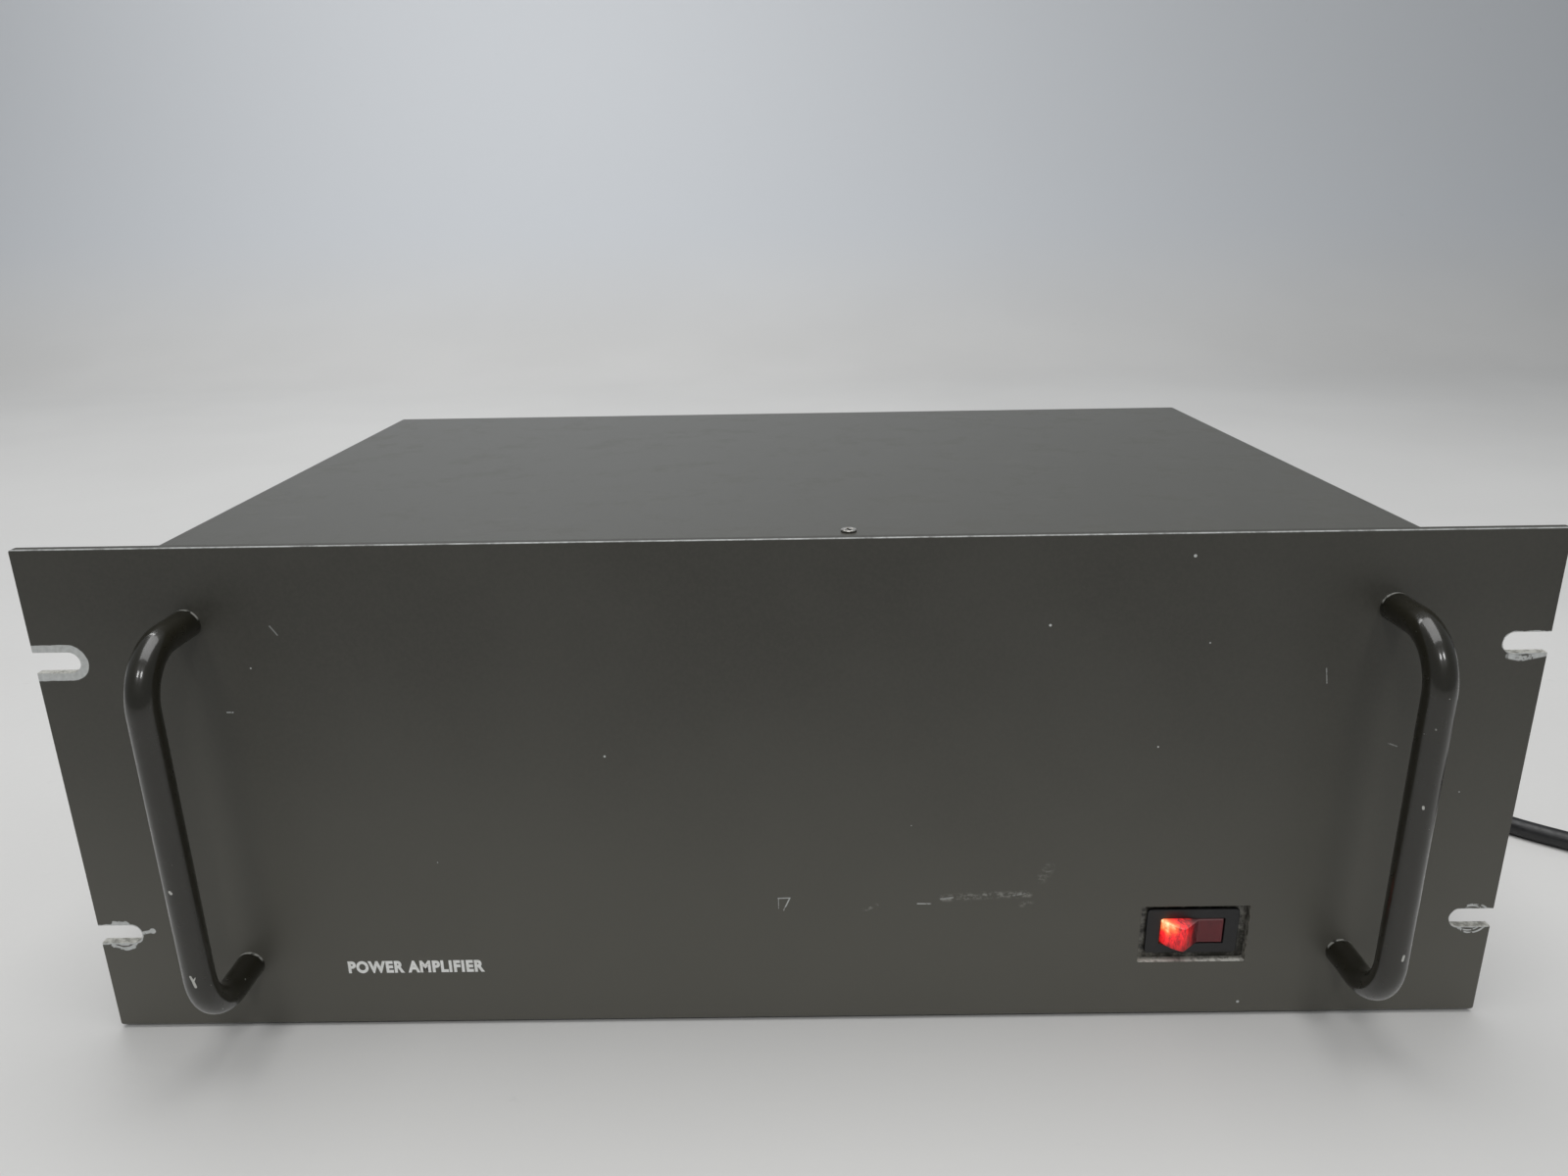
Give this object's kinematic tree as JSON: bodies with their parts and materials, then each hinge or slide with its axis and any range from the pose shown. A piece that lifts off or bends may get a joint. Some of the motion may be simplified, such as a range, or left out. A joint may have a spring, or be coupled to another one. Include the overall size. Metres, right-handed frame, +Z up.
{
  "type": "rack power amplifier",
  "caption": "Rack-width audio power amplifier with bar handles, a lighted rocker switch, a screwed steel case, rear fan and terminals, and a coiled mains cord.",
  "frame": {"origin": "on the surface the amplifier stands on, below the middle of its box, which is taken without the mains cord", "axes": "+X to the right as seen from the front, +Y from the front panel to the back, +Z up"},
  "size_m": [0.7363, 0.3854, 0.1785],
  "materials": {
    "panel_paint": "satin olive-grey enamel on aluminium",
    "handle_paint": "semi-gloss olive-grey enamel",
    "case_paint": "satin olive-grey enamel on steel sheet",
    "zinc_steel": "zinc-plated sheet",
    "fastener_steel": "zinc-plated",
    "rubber_black": "matte",
    "cord_black": "satin PVC",
    "black_plastic": "satin moulded",
    "rocker_red_plastic": "translucent red",
    "lamp_glass": "neon lamp glass",
    "guard_chrome": "polished wire",
    "core_iron": "varnished laminations",
    "winding_tape": "varnished polyester tape over copper",
    "capacitor_sleeve": "heat-shrunk sleeve on aluminium",
    "black_anodised": "black anodised extrusion",
    "device_metal": "nickel-plated cans",
    "circuit_board": "green solder mask",
    "plated_brass": "nickel-plated",
    "terminal_red_plastic": "moulded"
  },
  "bodies": {
    "chassis": {"bridge_rectifier": "black_plastic", "capacitor_clamp_left": "zinc_steel", "capacitor_clamp_right": "zinc_steel", "chassis_pan": "zinc_steel", "cover_screw_front": "fastener_steel", "cover_screw_left_front": "fastener_steel", "cover_screw_left_rear": "fastener_steel", "cover_screw_right_front": "fastener_steel", "cover_screw_right_rear": "fastener_steel", "driver_board_left": "circuit_board", "driver_board_right": "circuit_board", "fan_frame": "black_plastic", "fan_guard": "guard_chrome", "filter_capacitor_left": "capacitor_sleeve", "filter_capacitor_right": "capacitor_sleeve", "foot_front_left": "rubber_black", "foot_front_right": "rubber_black", "foot_rear_left": "rubber_black", "foot_rear_right": "rubber_black", "front_panel": "panel_paint", "fuse_holder": "black_plastic", "handle_left": "handle_paint", "handle_right": "handle_paint", "handle_screw_left_bottom": "fastener_steel", "handle_screw_left_top": "fastener_steel", "handle_screw_right_bottom": "fastener_steel", "handle_screw_right_top": "fastener_steel", "heat_sink_left": "black_anodised", "heat_sink_right": "black_anodised", "input_jack_left": "plated_brass", "input_jack_right": "plated_brass", "mains_cord": "cord_black", "mains_cord_coil": "cord_black", "mains_plug": "cord_black", "output_stage_left": "device_metal", "output_stage_right": "device_metal", "post_stud_left_black": "plated_brass", "post_stud_left_red": "plated_brass", "post_stud_right_black": "plated_brass", "post_stud_right_red": "plated_brass", "rear_panel": "case_paint", "strain_relief": "cord_black", "switch_housing": "black_plastic", "switch_lamp": "lamp_glass", "switch_pivot": "fastener_steel", "top_cover": "case_paint", "transformer_core": "core_iron", "transformer_frame": "zinc_steel", "transformer_winding": "winding_tape"},
    "power_rocker": {"switch_rocker": "rocker_red_plastic"},
    "fan_rotor": {"fan_rotor": "black_plastic"},
    "fuse_cap": {"fuse_cap": "black_plastic"},
    "post_cap_left_black": {"post_cap_left_black": "black_plastic", "post_insert_left_black": "plated_brass"},
    "post_cap_left_red": {"post_cap_left_red": "terminal_red_plastic", "post_insert_left_red": "plated_brass"},
    "post_cap_right_black": {"post_cap_right_black": "black_plastic", "post_insert_right_black": "plated_brass"},
    "post_cap_right_red": {"post_cap_right_red": "terminal_red_plastic", "post_insert_right_red": "plated_brass"}
  },
  "joints": [
    {"name": "power_rocker_tilt", "type": "hinge", "parent": "chassis", "child": "power_rocker", "pos_m": [0.1391, -0.11412, 0.0339], "axis": [0, 0, -1], "range_deg": [0, 40]},
    {"name": "fan_spin", "type": "hinge", "parent": "chassis", "child": "fan_rotor", "pos_m": [0, 0.11148, 0.092], "axis": [0, 1, 0], "continuous": true},
    {"name": "fuse_cap_turn", "type": "hinge", "parent": "chassis", "child": "fuse_cap", "pos_m": [0.136, 0.14048, 0.092], "axis": [0, 1, 0], "range_deg": [0, 90]},
    {"name": "post_left_black_turn", "type": "hinge", "parent": "chassis", "child": "post_cap_left_black", "pos_m": [-0.10905, 0.14248, 0.062], "axis": [0, 1, 0], "range_deg": [0, 1080]},
    {"name": "post_left_red_turn", "type": "hinge", "parent": "chassis", "child": "post_cap_left_red", "pos_m": [-0.09, 0.14248, 0.062], "axis": [0, 1, 0], "range_deg": [0, 1080]},
    {"name": "post_right_black_turn", "type": "hinge", "parent": "chassis", "child": "post_cap_right_black", "pos_m": [0.09, 0.14248, 0.062], "axis": [0, 1, 0], "range_deg": [0, 1080]},
    {"name": "post_right_red_turn", "type": "hinge", "parent": "chassis", "child": "post_cap_right_red", "pos_m": [0.10905, 0.14248, 0.062], "axis": [0, 1, 0], "range_deg": [0, 1080]}
  ]
}
